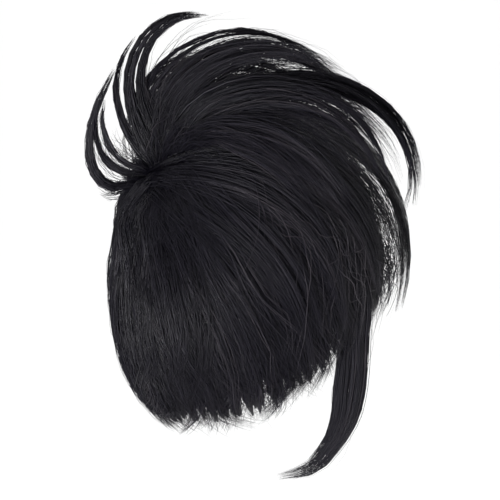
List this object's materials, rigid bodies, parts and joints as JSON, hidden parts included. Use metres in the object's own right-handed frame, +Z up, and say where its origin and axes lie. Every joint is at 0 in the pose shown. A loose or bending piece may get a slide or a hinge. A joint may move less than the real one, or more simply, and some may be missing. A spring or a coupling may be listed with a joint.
{
  "type": "cosplay wig",
  "caption": "Short black wig on an open cap, with combed hair, a tuft at the upper back whose long locks sweep over to the front, and a long side lock before the ear.",
  "frame": {"origin": "inside of the cap's crown, where the wig sits on the top of the head", "axes": "+Z up, -Y the way the wearer faces, +X the wearer's left"},
  "size_m": [0.2467, 0.266, 0.3706],
  "materials": {
    "hair": "satin synthetic fibre, near black",
    "cap_net": "matt dark grey elastic net"
  },
  "bodies": {
    "root": {"drape_left_high": "hair", "drape_left_low": "hair", "drape_left_top": "hair", "drape_right_high": "hair", "drape_right_low": "hair", "drape_right_mid": "hair", "drape_right_top": "hair", "fringe_left": "hair", "fringe_right": "hair", "left_back": "hair", "left_front": "hair", "nape_left": "hair", "nape_right": "hair", "right_back": "hair", "right_front": "hair", "side_lock": "hair", "tuft_back_high": "hair", "tuft_back_low": "hair", "tuft_back_mid": "hair", "tuft_far_front": "hair", "tuft_far_rear": "hair", "tuft_front_inner": "hair", "tuft_front_long": "hair", "tuft_rear_tall": "hair", "tuft_rear_thin": "hair", "tuft_root": "hair", "tuft_top": "hair", "wig_cap": "cap_net"}
  },
  "joints": []
}
